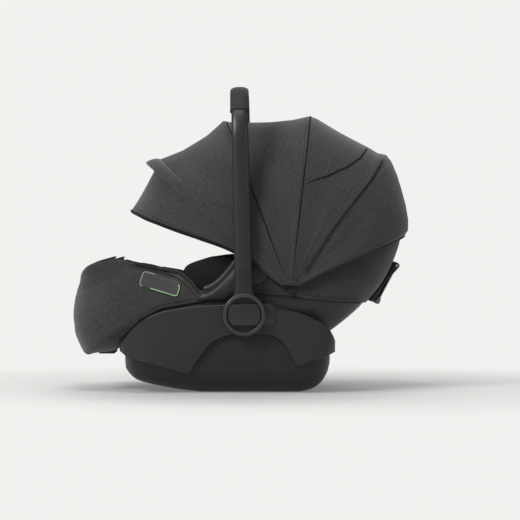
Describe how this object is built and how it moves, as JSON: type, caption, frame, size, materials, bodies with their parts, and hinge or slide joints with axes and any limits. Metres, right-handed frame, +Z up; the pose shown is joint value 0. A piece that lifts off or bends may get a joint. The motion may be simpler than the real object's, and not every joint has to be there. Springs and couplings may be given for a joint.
{
  "type": "infant car seat",
  "caption": "Infant car seat: rocker carrier with side shells, upright carry handle, reclining padded bucket with harness and headrest, and a folding canopy.",
  "frame": {"origin": "middle of the flat underside of the carrier, below the hubs", "axes": "+X to the head end, +Z up, +Y to the right-hand side of a seated child"},
  "size_m": [0.6458, 0.439, 0.5901],
  "materials": {
    "melange_cloth": "dark grey melange weave",
    "black_cloth": "black knit",
    "webbing": "woven webbing",
    "leatherette": "fine grain",
    "dark_tube": "dark satin anodised",
    "foam": "foam",
    "red_plastic": "gloss",
    "grey_plastic": "matte",
    "steel": "satin",
    "satin_plastic": "satin",
    "dark_plastic": "satin"
  },
  "bodies": {
    "carrier": {"carrier_tub": "dark_plastic", "latch_bar_front": "steel", "latch_bar_rear": "steel", "side_shell_left": "satin_plastic", "belt_guide_left": "dark_plastic", "handle_pivot_left": "steel", "handle_button_spring_left": "steel", "side_shell_right": "satin_plastic", "belt_guide_right": "dark_plastic", "handle_pivot_right": "steel", "handle_button_spring_right": "steel"},
    "handle": {"handle_tube": "dark_tube", "handle_grip": "leatherette", "handle_socket_left": "dark_plastic", "handle_socket_right": "dark_plastic"},
    "handle_button_l": {"handle_button_left": "satin_plastic"},
    "handle_button_r": {"handle_button_right": "satin_plastic"},
    "seat": {"seat_shell": "satin_plastic", "foam_liner": "foam", "seat_pad": "black_cloth", "insert_cushion": "black_cloth", "foot_cover": "melange_cloth", "back_cover": "melange_cloth", "buckle_housing": "dark_plastic", "crotch_strap": "webbing", "adjuster_housing": "dark_plastic", "adjuster_strap": "webbing", "release_bracket": "grey_plastic", "release_pin": "steel", "recline_mount": "dark_plastic", "canopy_hood_panel": "melange_cloth", "canopy_bow_rear": "dark_plastic", "recline_stub_left": "steel", "side_bolster_left": "black_cloth", "rim_roll_left": "leatherette", "tongue_left": "steel", "shoulder_strap_left": "webbing", "shoulder_pad_left": "black_cloth", "canopy_mount_left": "dark_plastic", "recline_stub_right": "steel", "side_bolster_right": "black_cloth", "rim_roll_right": "leatherette", "tongue_right": "steel", "shoulder_strap_right": "webbing", "shoulder_pad_right": "black_cloth", "canopy_mount_right": "dark_plastic"},
    "headrest": {"headrest_shell": "dark_plastic", "headrest_pad": "black_cloth", "headrest_grip": "dark_plastic"},
    "buckle_press": {"buckle_button": "red_plastic"},
    "adjuster_press": {"adjuster_button": "dark_plastic"},
    "release_lever": {"release_handle": "dark_plastic"},
    "recline_paddle": {"recline_lever": "dark_plastic"},
    "canopy_middle": {"canopy_bow_middle": "dark_plastic", "canopy_middle_panel": "melange_cloth"},
    "canopy_front": {"canopy_bow_front": "dark_plastic", "canopy_front_panel": "melange_cloth"},
    "canopy_visor": {"canopy_bow_visor": "dark_plastic", "canopy_visor_panel": "melange_cloth"}
  },
  "joints": [
    {"name": "handle_pivot", "type": "hinge", "parent": "carrier", "child": "handle", "pos_m": [0, 0, 0.15], "axis": [0, -1, 0], "range_deg": [-98, 75]},
    {"name": "handle_button_left_press", "type": "slide", "parent": "handle", "child": "handle_button_l", "axis": [0, 1, 0], "range_m": [0, 0.0035], "stiffness_N_per_m": 900, "springref_m": -0.003, "deforming": ["handle_button_spring_left"]},
    {"name": "handle_button_right_press", "type": "slide", "parent": "handle", "child": "handle_button_r", "axis": [0, -1, 0], "range_m": [0, 0.0035], "stiffness_N_per_m": 900, "springref_m": -0.003, "deforming": ["handle_button_spring_right"]},
    {"name": "seat_recline", "type": "hinge", "parent": "carrier", "child": "seat", "pos_m": [0, 0, 0.15], "axis": [0, 1, 0], "range_deg": [0, 12]},
    {"name": "headrest_slide", "type": "slide", "parent": "seat", "child": "headrest", "axis": [0.7651, 0, 0.6439], "range_m": [0, 0.03]},
    {"name": "buckle_press", "type": "slide", "parent": "seat", "child": "buckle_press", "axis": [0.2079, 0, -0.9781], "range_m": [0, 0.0015], "stiffness_N_per_m": 1200, "springref_m": -0.002},
    {"name": "adjuster_press", "type": "slide", "parent": "seat", "child": "adjuster_press", "axis": [-0.4695, 0, -0.8829], "range_m": [0, 0.002], "stiffness_N_per_m": 900, "springref_m": -0.002},
    {"name": "release_pull", "type": "hinge", "parent": "seat", "child": "release_lever", "pos_m": [0.299, 0, 0.243], "axis": [0, -1, 0], "range_deg": [0, 14], "stiffness_Nm_per_rad": 1.2, "springref_deg": -5.73},
    {"name": "recline_release", "type": "slide", "parent": "seat", "child": "recline_paddle", "axis": [-1, 0, 0], "range_m": [0, 0.007], "stiffness_N_per_m": 700, "springref_m": -0.003},
    {"name": "canopy_fold", "type": "hinge", "parent": "seat", "child": "canopy_middle", "pos_m": [0.088, 0, 0.194], "axis": [0, 1, 0], "range_deg": [0, 20.5], "deforming": ["canopy_middle_panel"]},
    {"name": "canopy_fold_front", "type": "hinge", "parent": "canopy_middle", "child": "canopy_front", "pos_m": [0.088, 0, 0.194], "axis": [0, 1, 0], "range_deg": [0, 22.6], "deforming": ["canopy_front_panel"]},
    {"name": "canopy_fold_visor", "type": "hinge", "parent": "canopy_front", "child": "canopy_visor", "pos_m": [0.088, 0, 0.194], "axis": [0, 1, 0], "range_deg": [0, 10.1], "deforming": ["canopy_visor_panel"]}
  ],
  "couplings": [
    {"joint": "canopy_fold_front", "follows": "canopy_fold", "ratio": 1.0976},
    {"joint": "canopy_fold_visor", "follows": "canopy_fold", "ratio": 0.4878}
  ]
}
